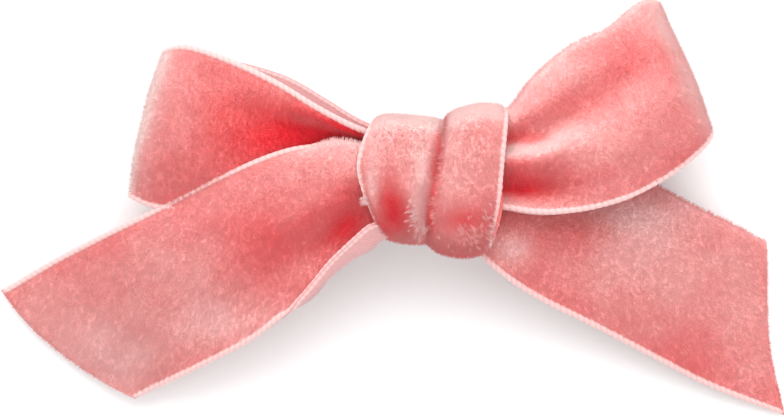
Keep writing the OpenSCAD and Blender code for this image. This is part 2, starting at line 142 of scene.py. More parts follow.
# The knot's wrap, as rows from its left selvedge to its right one, going over the top, down the front, under
# and back up behind. The fourth to sixth points of the front rows make the ridge and the pleat between the
# lobes.
KNOT = (
    ((-8.4, 8.2, 14.6), (-7, 9.2, 15.6), (-4, 9.2, 15.8), (0, 8.8, 15.8), (1.7, 8.4, 15.4),
     (2.5, 9.6, 15.8), (5.7, 10.7, 16), (8.8, 10.7, 15.8), (10.5, 10, 14.8)),
    ((-9.2, 7.5, 19.2), (-8, 7.9, 20), (-4.5, 8, 20.6), (-0.2, 7.6, 20.4), (1.5, 7, 19.5), (2.4, 8.2, 20.4),
     (5.7, 9, 21), (8.8, 9, 20.4), (10.5, 8.6, 19.6)),
    ((-10.3, 4.8, 20.5), (-9, 4.5, 21.4), (-5, 4.3, 22.1), (-0.9, 4.1, 21.8), (1, 4, 20.8), (2, 4.3, 21.7),
     (5.4, 4.6, 22.3), (8.4, 4.6, 21.9), (10.1, 4.5, 21.2)),
    ((-10.7, 2, 20.7), (-9.4, 1.6, 21.6), (-5.8, 1, 22), (-1.9, 0.9, 22.2), (0.3, 0.8, 21.1),
     (1.4, 1, 21.8), (5.2, 1.2, 22.4), (8.2, 1.2, 21.9), (9.8, 1.2, 21.2)),
    ((-10, -1, 20.5), (-8.8, -1.6, 21.2), (-6.2, -1.8, 21.2), (-2.8, -1.6, 22.3), (-0.6, -1.8, 21.1),
     (0.7, -1.6, 21.8), (4.8, -1.8, 22.3), (8, -1.8, 21.7), (9.5, -1.8, 21)),
    ((-8.9, -3.4, 19), (-8, -4.2, 20), (-5.8, -4.6, 19.6), (-2.7, -4.4, 21.5), (-1, -4.8, 20.2),
     (0.4, -4.8, 20.9), (4.4, -5.2, 21.5), (7.6, -5, 20.8), (9, -4.5, 20.1)),
    ((-8, -5.6, 17.4), (-7.2, -6.3, 18.1), (-5.2, -7, 17.8), (-2.5, -6.8, 19.5), (-0.8, -7.2, 18.1),
     (0.7, -7.8, 19.1), (4.2, -8.6, 19.7), (7, -8, 19.3), (8.3, -6.9, 18.2)),
    ((-7.6, -6.6, 14.8), (-6.6, -7.5, 15.2), (-4.6, -8.1, 15.4), (-2.4, -8.3, 15.6), (-0.8, -8.3, 15.2),
     (1, -9.6, 15.6), (4, -10.2, 15.8), (6.6, -9.8, 15.6), (8.2, -8.6, 15.2)),
    ((-8.2, -5.2, 12.2), (-4.6, -6.2, 12), (0, -6.4, 12), (4.6, -7.2, 12), (9, -6.2, 12.2)),
    ((-8.8, 0, 11.2), (-4.6, 0, 11), (0, 0, 11), (4.6, 0, 11), (9.6, 0, 11.2)),
    ((-8.6, 5.6, 12.2), (-4.6, 6.4, 12), (0, 6.4, 12), (4.6, 7.4, 12), (10, 6.8, 12.2)),
)

# Painted shade and painted highlight on each run, partly pressed or brushed nap and partly shade in valleys,
# creases and under other runs, on cloth that faces up: x, y, reach along x, reach along y and strength. Below
# 0 is deeper, as painted shade, and above 0 is paler, as painted highlight.
NAP_AND_SHADE_MARKS = {
    "left_loop": ((-14, 6.8, 9, 2.4, -0.75), (-24, 6, 7, 4.5, -0.35), (-30, 10, 4, 4, -0.15),
                  (-18, 11, 6, 1.4, -0.1), (-36, 5, 6, 10, 0.2)),
    "left_tail": ((-13, 4, 7, 3, 0.2), (-11.8, -6.6, 3.4, 4.2, -0.5), (-24, -7, 6, 5, -0.15),
                  (-50, -22, 14, 9, 0.5), (-31, -19, 7, 5, 0.45), (-43, -26, 6, 5, 0.3),
                  (-36, -12, 7, 5, 0.25)),
    "right_loop": ((13, 6.2, 4, 0.8, -0.5), (22, 11, 6, 3.5, -0.35), (28, 17, 5, 4, -0.35),
                   (24, 8, 14, 12, 0.3), (12, -0.8, 5.5, 2.6, -0.6), (20, 3.4, 7, 1.3, 0.1),
                   (18, 15, 5, 3, 0.2), (30, 23, 4, 4, 0.2)),
    "right_tail": ((11, -9.5, 3, 3, 0.5), (30, -10, 14, 8, 0.5), (20, -7, 5, 3, -0.3),
                   (45, -20, 6, 10, 0.3), (30, -20, 8, 5, 0.2), (29.4, -4.6, 6, 2.4, 0.3)),
    "knot": ((-6.2, -1.4, 1.7, 3, -0.3), (-5.4, -4.3, 2.2, 3.2, -0.42), (0.9, 4.2, 0.5, 3, -0.8),
             (0.2, 0, 0.5, 3, -0.8), (-0.5, -4.2, 0.5, 2.4, -0.5), (-1.7, 1, 1.1, 5, 0.4),
             (0, 1, 14, 9, 0.35), (-2.2, -5, 1, 3, 0.35), (4.4, -5, 2.2, 1.6, -0.4), (3, -8.4, 5, 2, 0.35),
             (-5, -7.8, 3, 1.3, 0.35), (-8.5, -1, 1, 4, 0.5)),
}
# How pale each run is between the marks, from 0 to 1, as its nap and painted light together.
NAP_AND_LIGHT_BASE = {"left_loop": 0.43, "left_tail": 0.46, "right_loop": 0.45, "right_tail": 0.43, "knot": 0.44}
# How much painted sheen each run gets where its cloth turns away from straight up: anywhere, to the left, to
# the right and to the top. Below 0 paints that rim deeper.
RIM_SHEEN_PAINT = {
    "left_loop": (0.1, 0.65, 0, 0),
    "left_tail": (0.1, 0, 0, 0.1),
    "right_loop": (0.05, 0, 0.2, 0.15),
    "right_tail": (0.05, 0, 0, 0),
    "knot": (-0.1, 0, 0.1, 0.4),
}
# The way that the painted light comes from, near the key light. Cloth that turns this way is painted paler,
# and cloth that turns from it deeper.
PAINTED_LIGHT_FROM = (-0.1, 0.68, 0.73)
# Where the knot's pile is teased out: x, y, reach along x, reach along y, strands, the way they lie along x
# and y, length in millimetres and how pale they are painted, as painted sheen on strands seen from the side.
TEASED = (
    (-2.4, -4.0, 0.6, 1.4, 420, -1.2, -0.4, 1.0, 0.68),
    (-1.5, -6.2, 0.7, 1.0, 260, -0.5, -1.2, 1.1, 0.66),
    (-1.9, -1.0, 0.5, 1.4, 200, -0.9, -0.2, 0.8, 0.6),
    (1.2, 2.0, 0.4, 2.8, 360, -1.1, -0.2, 0.9, 0.45),
    (0.4, -3.5, 0.5, 1.8, 260, -1.0, -0.4, 0.9, 0.45),
    (5.2, -7.0, 2.8, 1.4, 600, 0.5, -0.9, 1.0, 0.5),
    (7.8, -5.5, 0.8, 1.8, 260, 0.7, -0.7, 1.0, 0.6),
    (-9.4, -2.4, 0.3, 0.6, 120, -1.2, -0.8, 1.2, 0.8),
)


# ---- Sizes and colours ----

class BarretteRibbonSizes(PropertyGroup):
    width: FloatProperty(name="Ribbon width", description="Width of the velvet ribbon across both selvedges",
                         default=0.022, min=0.01, subtype="DISTANCE", unit="LENGTH")
    cloth: FloatProperty(name="Ground thickness", description="Thickness of the woven ground under the pile",
                         default=0.00045, min=0.0001, subtype="DISTANCE", unit="LENGTH")
    pile: FloatProperty(name="Pile length", description="Length of the cut pile above the ground",
                        default=0.0006, min=0.0001, subtype="DISTANCE", unit="LENGTH")
    selvedge: FloatProperty(name="Selvedge width", description="Width of the woven edge that has no pile",
                            default=0.00095, min=0.0002, subtype="DISTANCE", unit="LENGTH")
    stitch: FloatProperty(name="Selvedge pitch", description="Distance between two turns of the selvedge",
                          default=0.00095, min=0.0002, subtype="DISTANCE", unit="LENGTH")
    density: FloatProperty(name="Pile density", description="Tufts of pile on each square millimetre",
                           default=40, min=1)


class BarretteColours(PropertyGroup):
    # Painted shade: the velvet's colour where its nap is pressed and where shade falls.
    deep: FloatVectorProperty(name="Velvet, pressed", description="Velvet where the nap is pressed or shaded",
                              subtype="COLOR", size=3, min=0, max=1, default=(0.92, 0.03, 0.05))
    middle: FloatVectorProperty(name="Velvet", description="Velvet seen straight on",
                                subtype="COLOR", size=3, min=0, max=1, default=(0.86, 0.265, 0.26))
    # Painted highlight: the velvet's colour where its nap is brushed up and where light falls.
    pale: FloatVectorProperty(name="Velvet, brushed", description="Velvet where the nap is brushed up",
                              subtype="COLOR", size=3, min=0, max=1, default=(0.92, 0.57, 0.55))
    # Painted sheen: the pale colour of the pile where the cloth turns away.
    frost: FloatVectorProperty(name="Velvet, edge on", description="Velvet whose pile is seen from its side",
                               subtype="COLOR", size=3, min=0, max=1, default=(0.96, 0.7, 0.665))
    selvedge: FloatVectorProperty(name="Selvedge", description="Satin yarn of the woven edges",
                                  subtype="COLOR", size=3, min=0, max=1, default=(0.72, 0.43, 0.415))
    back: FloatVectorProperty(name="Ribbon back", description="Woven back of the ribbon",
                              subtype="COLOR", size=3, min=0, max=1, default=(0.8, 0.4, 0.4))
    nickel: FloatVectorProperty(name="Nickel", description="Plated spring steel of the clip",
                                subtype="COLOR", size=3, min=0, max=1, default=(0.5, 0.49, 0.47))
    glue: FloatVectorProperty(name="Glue", description="Hot-melt glue between the clip and the knot",
                              subtype="COLOR", size=3, min=0, max=1, default=(0.82, 0.76, 0.62))
    floor: FloatVectorProperty(name="Floor", description="Paper that the barrette lies on",
                               subtype="COLOR", size=3, min=0, max=1, default=(0.93, 0.93, 0.93))


# ---- Materials ----

def new_material(name):
    """An empty node material with a Principled shader, and a function that adds a node to it."""
    material = bpy.data.materials.new(name)
    material.use_nodes = True
    tree = material.node_tree
    shader = tree.nodes["Principled BSDF"]

    def add(kind, inputs=None, **settings):
        node = tree.nodes.new("ShaderNode" + kind)
        for key, value in settings.items():
            setattr(node, key, value)
        for key, value in (inputs or {}).items():
            if isinstance(value, bpy.types.NodeSocket):
                tree.links.new(value, node.inputs[key])
            else:
                node.inputs[key].default_value = value
        return node

    return material, shader, add


def link(output, socket):
    socket.id_data.links.new(output, socket)


def ramp(add, factor, *stops):
    """A colour ramp of (position, colour) stops."""
    node = add("ValToRGB", {"Fac": factor})
    elements = node.color_ramp.elements
    while len(elements) < len(stops):
        elements.new(0.5)
    for element, (position, colour) in zip(elements, stops):
        element.position = position
        element.color = (*colour, 1)
    return node.outputs["Color"]


def shaded(colour, by):
    return tuple(min(1, c * by) for c in colour)


def velvet_pile():
    """Cut pile: each spike's colour comes from the painted shade and light of the cloth there, with a painted
    highlight at its tip.
    """
    colours = bpy.context.scene.barrette_colours
    material, shader, add = new_material("velvet_pile")
    # The attribute holds the nap with painted shade, painted light and painted sheen.
    nap_and_painted_light = add("Attribute", attribute_name="nap_and_painted_light").outputs["Fac"]
    # Stops: painted shade, the velvet's own colour, painted highlight and painted sheen.
    colour = ramp(add, nap_and_painted_light, (0, colours.deep), (0.4, colours.middle), (0.75, colours.pale),
                  (1, colours.frost))
    link(colour, shader.inputs["Base Color"])
    shader.inputs["Roughness"].default_value = 0.75
    shader.inputs["Specular IOR Level"].default_value = 0.1
    shader.inputs["Sheen Weight"].default_value = 0.15
    shader.inputs["Sheen Roughness"].default_value = 0.45
    shader.inputs["Sheen Tint"].default_value = (1, 0.82, 0.8, 1)
    return material


def velvet_ground():
    """The ground that the pile stands in: a little darker, as painted shade between the tufts, with a fine
    grain.
    """
    colours = bpy.context.scene.barrette_colours
    material, shader, add = new_material("velvet_ground")
    # The attribute holds the nap with painted shade, painted light and painted sheen.
    nap_and_painted_light = add("Attribute", attribute_name="nap_and_painted_light").outputs["Fac"]
    uv = add("UVMap", uv_map="Ribbon").outputs["UV"]
    grain = add("TexNoise", {"Vector": uv, "Scale": 60.0, "Detail": 4.0, "Roughness": 0.7})
    mixed = add("Math", {0: nap_and_painted_light, 1: grain.outputs["Fac"]}, operation="ADD").outputs[0]
    shade_and_grain = add("Math", {0: mixed, 1: 0.5}, operation="SUBTRACT").outputs[0]
    # Painted shade: the first two stops are darker than the pile's, for shade between the tufts.
    colour = ramp(add, shade_and_grain, (0, shaded(colours.deep, 0.9)), (0.4, shaded(colours.middle, 0.95)),
                  (0.75, colours.pale), (1, colours.frost))
    link(colour, shader.inputs["Base Color"])
    shader.inputs["Roughness"].default_value = 0.9
    shader.inputs["Specular IOR Level"].default_value = 0.05
    shader.inputs["Sheen Weight"].default_value = 0.2
    shader.inputs["Sheen Roughness"].default_value = 0.4
    shader.inputs["Sheen Tint"].default_value = (1, 0.75, 0.75, 1)
    bump = add("Bump", {"Height": grain.outputs["Fac"], "Strength": 0.6, "Distance": 0.0002})
    link(bump.outputs["Normal"], shader.inputs["Normal"])
    return material


def woven_back():
    """The ribbon's back: a tight weave with a fine dotted face."""
    colours = bpy.context.scene.barrette_colours
    material, shader, add = new_material("woven_back")
    uv = add("UVMap", uv_map="Ribbon").outputs["UV"]
    turned = add("Mapping", {"Vector": uv, "Rotation": (0, 0, 0.6)}).outputs["Vector"]
    threads = {"Vector": turned, "Scale": 13.0, "Distortion": 0.4, "Detail": 1.0}
    weft = add("TexWave", threads, bands_direction="X")
    warp = add("TexWave", threads, bands_direction="Y")
    dots = add("Math", {0: weft.outputs["Fac"], 1: warp.outputs["Fac"]}, operation="MULTIPLY").outputs[0]
    slub = add("TexNoise", {"Vector": uv, "Scale": 14.0, "Detail": 3.0}).outputs["Fac"]
    tone = add("Math", {0: dots, 1: slub, 2: 0.1}, operation="MULTIPLY_ADD").outputs[0]
    link(ramp(add, tone, (0, shaded(colours.back, 0.7)), (0.5, colours.back), (1, shaded(colours.back, 1.2))),
         shader.inputs["Base Color"])
    shader.inputs["Roughness"].default_value = 0.55
    shader.inputs["Specular IOR Level"].default_value = 0.35
    shader.inputs["Sheen Weight"].default_value = 0.3
    bump = add("Bump", {"Height": dots, "Strength": 0.5, "Distance": 0.0001})
    link(bump.outputs["Normal"], shader.inputs["Normal"])
    return material


def selvedge_yarn():
    """Satin yarn that wraps the ribbon's edges: a painted highlight on each turn and painted shade between
    them.
    """
    colours = bpy.context.scene.barrette_colours
    material, shader, add = new_material("selvedge_yarn")
    # The turn attribute paints a highlight on each turn of yarn.
    turn = add("Attribute", attribute_name="turn").outputs["Fac"]
    uv = add("UVMap", uv_map="Ribbon").outputs["UV"]
    strands = add("TexNoise", {"Vector": uv, "Scale": 30.0, "Detail": 5.0, "Roughness": 0.7}).outputs["Fac"]
    tone = add("Math", {0: strands, 1: 0.5, 2: turn}, operation="MULTIPLY_ADD").outputs[0]
    link(ramp(add, tone, (0.1, shaded(colours.selvedge, 0.85)), (0.6, colours.selvedge),
              (1, shaded(colours.selvedge, 1.1))), shader.inputs["Base Color"])
    shader.inputs["Roughness"].default_value = 0.5
    shader.inputs["Specular IOR Level"].default_value = 0.4
    shader.inputs["Sheen Weight"].default_value = 0.4
    shader.inputs["Sheen Roughness"].default_value = 0.5
    bump = add("Bump", {"Height": strands, "Strength": 0.5, "Distance": 0.0001})
    link(bump.outputs["Normal"], shader.inputs["Normal"])
    return material


def plated_steel(name, grain_scale, roughness, worn):
    """Nickel on steel: drawn lines along the clip, slightly uneven plating and rubbed patches."""
    colours = bpy.context.scene.barrette_colours
    material, shader, add = new_material(name)
    place = add("TexCoord").outputs["Object"]
    drawn = add("Mapping", {"Vector": place, "Scale": (60, 1400, 1400)}).outputs["Vector"]
    grain = {"Vector": drawn, "Scale": grain_scale, "Detail": 5.0, "Roughness": 0.6}
    lines = add("TexNoise", grain).outputs["Fac"]
    cloud = add("TexNoise", {"Vector": place, "Scale": 260.0, "Detail": 3.0}).outputs["Fac"]
    tone = add("Math", {0: lines, 1: 0.35, 2: cloud}, operation="MULTIPLY_ADD").outputs[0]
    link(ramp(add, tone, (0.35, shaded(colours.nickel, worn)), (0.9, shaded(colours.nickel, 1.12))),
         shader.inputs["Base Color"])
    shader.inputs["Metallic"].default_value = 1.0
    gloss = add("MapRange", {"Value": tone, "From Min": 0.3, "From Max": 1.0,
                             "To Min": roughness + 0.12, "To Max": roughness}).outputs["Result"]
    link(gloss, shader.inputs["Roughness"])
    bump = add("Bump", {"Height": lines, "Strength": 0.15, "Distance": 0.00003})
    link(bump.outputs["Normal"], shader.inputs["Normal"])
    return material


def hot_melt():
    """Cloudy hot-melt glue with small bubbles."""
    colours = bpy.context.scene.barrette_colours
    material, shader, add = new_material("hot_melt")
    place = add("TexCoord").outputs["Object"]
    cloud = add("TexNoise", {"Vector": place, "Scale": 500.0, "Detail": 3.0}).outputs["Fac"]
    bubbles = add("TexVoronoi", {"Vector": place, "Scale": 1600.0}).outputs["Distance"]
    link(ramp(add, cloud, (0.3, shaded(colours.glue, 0.85)), (0.7, shaded(colours.glue, 1.1))),
         shader.inputs["Base Color"])
    shader.inputs["Roughness"].default_value = 0.35
    shader.inputs["Subsurface Weight"].default_value = 0.4
    shader.inputs["Subsurface Radius"].default_value = (0.001, 0.0008, 0.0005)
    bump = add("Bump", {"Height": bubbles, "Strength": 0.3, "Distance": 0.0001})
    link(bump.outputs["Normal"], shader.inputs["Normal"])
    return material


def paper_floor():
    colours = bpy.context.scene.barrette_colours
    material, shader, add = new_material("paper_floor")
    shader.inputs["Base Color"].default_value = (*colours.floor, 1)
    shader.inputs["Roughness"].default_value = 0.9
    return material


def shared(make, *details):
    """The material that make builds, made once and then shared."""
    name = details[0] if details else make.__name__
    return bpy.data.materials.get(name) or make(*details)


# ---- Ribbon surfaces ----

def curve_through(points, at):
    """Places on the smooth curve through points, where at counts points from 0 and may fall between two."""
    points = np.asarray(points, float)
    last = len(points) - 1
    i = np.clip(np.floor(at).astype(int), 0, last - 1)
    t = (at - i).reshape(-1, *[1] * (points.ndim - 1))
    before = np.where((i > 0).reshape(t.shape), points[np.maximum(i - 1, 0)], 2 * points[0] - points[1])
    after = np.where((i < last - 1).reshape(t.shape), points[np.minimum(i + 2, last)],
                     2 * points[last] - points[last - 1])
    a, b = points[i], points[i + 1]
    return 0.5 * (2 * a + (b - before) * t + (2 * before - 5 * a + 4 * b - after) * t ** 2
                  + (3 * a - before - 3 * b + after) * t ** 3)


def even_steps(points, count):
    """count points at even distances along the smooth curve through points."""
    fine = curve_through(points, np.linspace(0, len(points) - 1, 24 * len(points)))
    walked = np.concatenate([[0], np.cumsum(np.linalg.norm(np.diff(fine, axis=0), axis=1))])
    wanted = np.linspace(0, walked[-1], count)
    return np.stack([np.interp(wanted, walked, fine[:, k]) for k in range(3)], axis=1)


def run_surface(rows, along, across):
    """A grid of points in metres over a run of ribbon, with along rows and across points in each."""
    even_rows = np.array([even_steps(row, across) for row in rows])
    middle = even_rows[:, across // 2]
    fine_at = np.linspace(0, len(rows) - 1, 24 * len(rows))
    fine = curve_through(middle, fine_at)
    walked = np.concatenate([[0], np.cumsum(np.linalg.norm(np.diff(fine, axis=0), axis=1))])
    at = np.interp(np.linspace(0, walked[-1], along), walked, fine_at)
    return curve_through(even_rows, at) * MM


def normals_of(grid, closed=False):
    """Unit normals of a grid of points, pointing to the pile's side for a run that goes left."""
    if closed:
        ahead, behind = np.roll(grid, -1, axis=0), np.roll(grid, 1, axis=0)
        du = ahead - behind
    else:
        du = np.gradient(grid, axis=0)
    n = np.cross(du, np.gradient(grid, axis=1))
    return n / np.linalg.norm(n, axis=2, keepdims=True)


def lengths(grid):
    """The mean distance along the ribbon, and the distance across each row from its first edge, in metres."""
    step = np.linalg.norm(np.diff(grid, axis=0), axis=2).mean(axis=1)
    along = np.concatenate([[0], np.cumsum(step)])
    side = np.linalg.norm(np.diff(grid, axis=1), axis=2)
    across = np.concatenate([np.zeros((len(grid), 1)), np.cumsum(side, axis=1)], axis=1)
    return along, across


def drift(x, y, spacing, seed):
    """Smooth random values from -1 to 1 at places in millimetres, which change over spacing millimetres."""
    table = np.random.default_rng(seed).uniform(-1, 1, (64, 64))
    u, v = x / spacing, y / spacing
    i, j = np.floor(u).astype(int), np.floor(v).astype(int)
    fu, fv = u - i, v - j
    fu, fv = fu * fu * (3 - 2 * fu), fv * fv * (3 - 2 * fv)
    i, j, across, down = i % 64, j % 64, (i + 1) % 64, (j + 1) % 64
    return ((table[i, j] * (1 - fu) + table[across, j] * fu) * (1 - fv)
            + (table[i, down] * (1 - fu) + table[across, down] * fu) * fv)


def ripple(grid, normals):
    """The grid with the slight unevenness of hand-tied cloth."""
    x, y = grid[..., 0] / MM, grid[..., 1] / MM
    height = 0.16 * drift(x, y, 6, 1) + 0.05 * drift(x, y, 2.5, 2)
    return grid + normals * (height * MM)[..., None]


def nap_shade(name, grid, normals):
    """From 0 to 1, how dark or light the velvet is: its pile, painted shade, painted light and painted sheen.
    """
    x, y = grid[..., 0] / MM, grid[..., 1] / MM
    shade = np.full(x.shape, NAP_AND_LIGHT_BASE[name])
    facing_up = np.clip(0.5 + 2 * normals[..., 2], 0, 1)
    # Painted shade and painted highlight from the marks, partly pressed or brushed pile.
    for cx, cy, rx, ry, strength in NAP_AND_SHADE_MARKS[name]:
        shade = shade + 0.5 * strength * np.exp(-((x - cx) / rx) ** 2 - ((y - cy) / ry) ** 2) * facing_up
    # Painted light and shade: cloth that faces the light is painted paler and cloth that turns from it
    # deeper.
    lit_facing = normals @ np.array(PAINTED_LIGHT_FROM)
    shade = shade + 0.45 * (np.clip(lit_facing, 0.4, 1) - 0.73)
    # Painted sheen where the cloth turns away from straight up, paler on the sides chosen for each run.
    rim = np.clip((0.96 - normals[..., 2]) / 0.4, 0, 1)
    anywhere, left, right, top = RIM_SHEEN_PAINT[name]
    sheen_amount = (anywhere + left * np.clip(-normals[..., 0], 0, 1) + right * np.clip(normals[..., 0], 0, 1)
               + top * np.clip(normals[..., 1], 0, 1))
    shade = shade + sheen_amount * rim * rim * (3 - 2 * rim)
    return np.clip(shade + 0.025 * drift(x, y, 3, 3) + 0.02 * drift(x, y, 1.2, 4), 0, 1)


def mesh_object(name, vertices, faces, materials):
    mesh = bpy.data.meshes.new(name)
    mesh.from_pydata(np.asarray(vertices).tolist(), [], np.asarray(faces).tolist())
    for material in materials:
        mesh.materials.append(material)
    piece = bpy.data.objects.new(name, mesh)
    bpy.context.scene.collection.objects.link(piece)
    return piece


def set_point_values(piece, name, values):
    attribute = piece.data.attributes.new(name, "FLOAT", "POINT")
    attribute.data.foreach_set("value", np.asarray(values, np.float32).ravel())


def set_uv(piece, per_vertex):
    """A UV map from each vertex's distances along and across the ribbon, in centimetres."""
    layer = piece.data.uv_layers.new(name="Ribbon")
    corner = np.empty(len(piece.data.loops), np.int32)
    piece.data.loops.foreach_get("vertex_index", corner)
    layer.data.foreach_set("uv", (per_vertex[corner] * 100).astype(np.float32).ravel())


def select_only(piece):
    bpy.ops.object.select_all(action="DESELECT")
    piece.select_set(True)
    bpy.context.view_layer.objects.active = piece


def apply_modifiers(piece):
    select_only(piece)
    for modifier in list(piece.modifiers):
        bpy.ops.object.modifier_apply(modifier=modifier.name)
    piece.select_set(False)


def quads(rows, columns, closed):
    """Faces of a grid of rows by columns of vertices, with its first row after its last if closed."""
    i, j = np.meshgrid(np.arange(rows if closed else rows - 1), np.arange(columns - 1), indexing="ij")
    a, b = i * columns + j, (i + 1) % rows * columns + j
    return np.stack([a, b, b + 1, a + 1], axis=-1).reshape(-1, 4)


def woven_ground(name, grid, normals, shade, outward, closed=False):
    """The ribbon's cloth: velvet ground outside, woven back inside, with a closed rim."""
    sizes = bpy.context.scene.barrette_ribbon
    rows, columns = grid.shape[:2]
    faces = quads(rows, columns, closed)
    if outward < 0:
        faces = faces[:, ::-1]
    piece = mesh_object(name, grid.reshape(-1, 3), faces, [shared(velvet_ground), shared(woven_back)])
    # Painted shade, painted light and painted sheen for the velvet's colour, with its pressed or brushed nap.
    set_point_values(piece, "nap_and_painted_light", shade)
    along, across = lengths(grid)
    set_uv(piece, np.stack([np.broadcast_to(along[:, None], across.shape), across], axis=-1).reshape(-1, 2))
    piece.data.shade_smooth()
    solid = piece.modifiers.new("Thickness", "SOLIDIFY")
    solid.thickness = sizes.cloth
    solid.offset = -1
    solid.material_offset = 1
    solid.material_offset_rim = 1
    apply_modifiers(piece)
    return piece


def sample(field, u, v, closed=False):
    """Values of a grid field at fractional rows u and columns v."""
    rows, columns = field.shape[:2]
    i = np.floor(u).astype(int)
    j = np.clip(np.floor(v).astype(int), 0, columns - 2)
    if not closed:
        i = np.clip(i, 0, rows - 2)
    fu, fv = u - i, v - j
    if field.ndim == 3:
        fu, fv = fu[:, None], fv[:, None]
    i, ahead = i % rows, (i + 1) % rows
    return ((field[i, j] * (1 - fv) + field[i, j + 1] * fv) * (1 - fu)
            + (field[ahead, j] * (1 - fv) + field[ahead, j + 1] * fv) * fu)


def pile(name, grid, normals, shade, seed, rows_used=None, crowding=1.0, closed=False):
    """Tufts of cut pile over part of a grid, each a thin closed spike that leans with the lie of the pile and
    takes the painted shade and light under it.
    """
    sizes = bpy.context.scene.barrette_ribbon
    dice = np.random.default_rng(seed)
    rows, columns = grid.shape[:2]
    first, last = rows_used or (0, rows if closed else rows - 1)
    along_dir = np.roll(grid, -1, axis=0) - np.roll(grid, 1, axis=0) if closed else np.gradient(grid, axis=0)
    across_dir = np.gradient(grid, axis=1)
    area = np.linalg.norm(np.cross(along_dir * (0.5 if closed else 1), across_dir), axis=2)
    part = area[first:last]
    count = int(part.sum() / MM ** 2 * sizes.density * crowding)
    heaviest = part.max()
    u = dice.uniform(first, last, count * 3)
    v = dice.uniform(0, columns - 1, count * 3)
    keep = dice.uniform(0, heaviest, count * 3) < sample(area, u, v, closed)
    u, v = u[keep][:count], v[keep][:count]
    across = lengths(grid)[1]
    from_edge = sample(across, u, v, closed)
    to_edge = sample(np.broadcast_to(across[:, -1:], across.shape), u, v, closed) - from_edge
    inside = (from_edge > 0.62 * sizes.selvedge) & (to_edge > 0.62 * sizes.selvedge)
    u, v, from_edge, to_edge = u[inside], v[inside], from_edge[inside], to_edge[inside]
    count = len(u)

    root = sample(grid, u, v, closed)
    up = unit(sample(normals, u, v, closed))
    along = unit(sample(along_dir, u, v, closed))
    across = unit(sample(across_dir, u, v, closed))
    x, y = root[:, 0] / MM, root[:, 1] / MM
    lie = 0.16 + 0.07 * drift(x, y, 5, 5)
    swing = 0.45 * drift(x, y, 4, 6)
    edge_lean = np.exp(-from_edge / MM) - np.exp(-to_edge / MM)
    lean = along * (lie * np.cos(swing))[:, None] + across * (lie * np.sin(swing) - 0.5 * edge_lean)[:, None]
    lean = lean + dice.normal(0, 0.12, (count, 3))
    trimmed = np.clip(0.45 + 0.55 * np.minimum(from_edge, to_edge) / (1.5 * MM), 0, 1)
    reach = sizes.pile * trimmed * dice.uniform(0.72, 1.12, count)
    # Each spike takes the painted shade and painted light of the cloth at its root.
    tone = sample(shade, u, v, closed) + dice.normal(0, 0.015, count)
    return spikes(name, root, up, along, lean, reach, tone, dice)


def teased_pile(name, grid, normals, seed):
    """Strands of the knot's pile that are pulled out in small locks and are painted paler, as sheen on their
    sides.
    """
    dice = np.random.default_rng(seed)
    front = np.argwhere(normals[..., 2] > -0.1)
    places = grid[front[:, 0], front[:, 1]] / MM
    roots, ups, leans, reaches, tones = [], [], [], [], []
    for x, y, rx, ry, strands, lie_x, lie_y, length, sheen_paleness in TEASED:
        near = np.exp(-((places[:, 0] - x) / rx) ** 2 - ((places[:, 1] - y) / ry) ** 2)
        locks = dice.choice(len(front), strands // 8, p=near / near.sum())
        for lock in locks:
            i, j = front[lock]
            lie = np.array([lie_x, lie_y, 0]) + dice.normal(0, 0.3, 3)
            size = length * dice.uniform(0.7, 1.15)
            for _ in range(8):
                roots.append(grid[i, j] + dice.normal(0, 0.1 * MM, 3) * [1, 1, 0.2])
                ups.append(normals[i, j] + [0, 0.25, 0.5])
                leans.append(lie + dice.normal(0, 0.12, 3))
                reaches.append(size * MM * dice.uniform(0.85, 1.1))
                # Painted sheen: how pale each strand is painted.
                tones.append(sheen_paleness + dice.normal(0, 0.05))
    ups = unit(np.array(ups))
    along = unit(np.cross(ups, np.array([1.0, 0.2, 0])))
    lean, reach, tone = np.array(leans), np.array(reaches), np.array(tones)
    return spikes(name, np.array(roots), ups, along, lean, reach, tone, dice, 0.042)


def spikes(name, root, up, along, lean, reach, tone, dice, radius=0.062):
    """One mesh of closed spikes that stand on root, with the cloth's own facing for soft shading."""
    count = len(root)
    tip = root + unit(up + lean) * reach[:, None]
    turn = dice.uniform(0, 2 * math.pi, count)
    girth = radius * MM * dice.uniform(0.8, 1.25, count)
    beside = np.cross(up, along)
    corners, facing = [], []
    for k in range(3):
        a = turn + k * 2 * math.pi / 3
        out = along * np.cos(a)[:, None] + beside * np.sin(a)[:, None]
        corners.append(root - up * 0.05 * MM + out * girth[:, None])
        facing.append(unit(up + 0.35 * out))
    points = np.stack([*corners, tip], axis=1).reshape(-1, 3)
    facing = np.stack([*facing, up], axis=1).reshape(-1, 3)
    spike = np.array([[0, 1, 3], [1, 2, 3], [2, 0, 3], [2, 1, 0]])
    faces = (spike[None] + 4 * np.arange(count)[:, None, None]).reshape(-1, 3)
    mesh = bpy.data.meshes.new(name)
    mesh.vertices.add(len(points))
    mesh.vertices.foreach_set("co", points.astype(np.float32).ravel())
    mesh.loops.add(faces.size)
    mesh.loops.foreach_set("vertex_index", faces.astype(np.int32).ravel())
    mesh.polygons.add(len(faces))
    mesh.polygons.foreach_set("loop_start", np.arange(0, faces.size, 3, dtype=np.int32))
    mesh.update(calc_edges=True)
    mesh.shade_smooth()
    mesh.normals_split_custom_set_from_vertices(facing.tolist())
    mesh.materials.append(shared(velvet_pile))
    piece = bpy.data.objects.new(name, mesh)
    bpy.context.scene.collection.objects.link(piece)
    # Painted shade at each spike's root and a painted highlight at its tip.
    shaded_root_lit_tip = np.stack([tone - 0.07] * 3 + [tone + 0.03], axis=1)
    set_point_values(piece, "nap_and_painted_light", np.clip(shaded_root_lit_tip, 0, 1))
    return piece


def unit(vectors):
    return vectors / np.linalg.norm(vectors, axis=-1, keepdims=True)


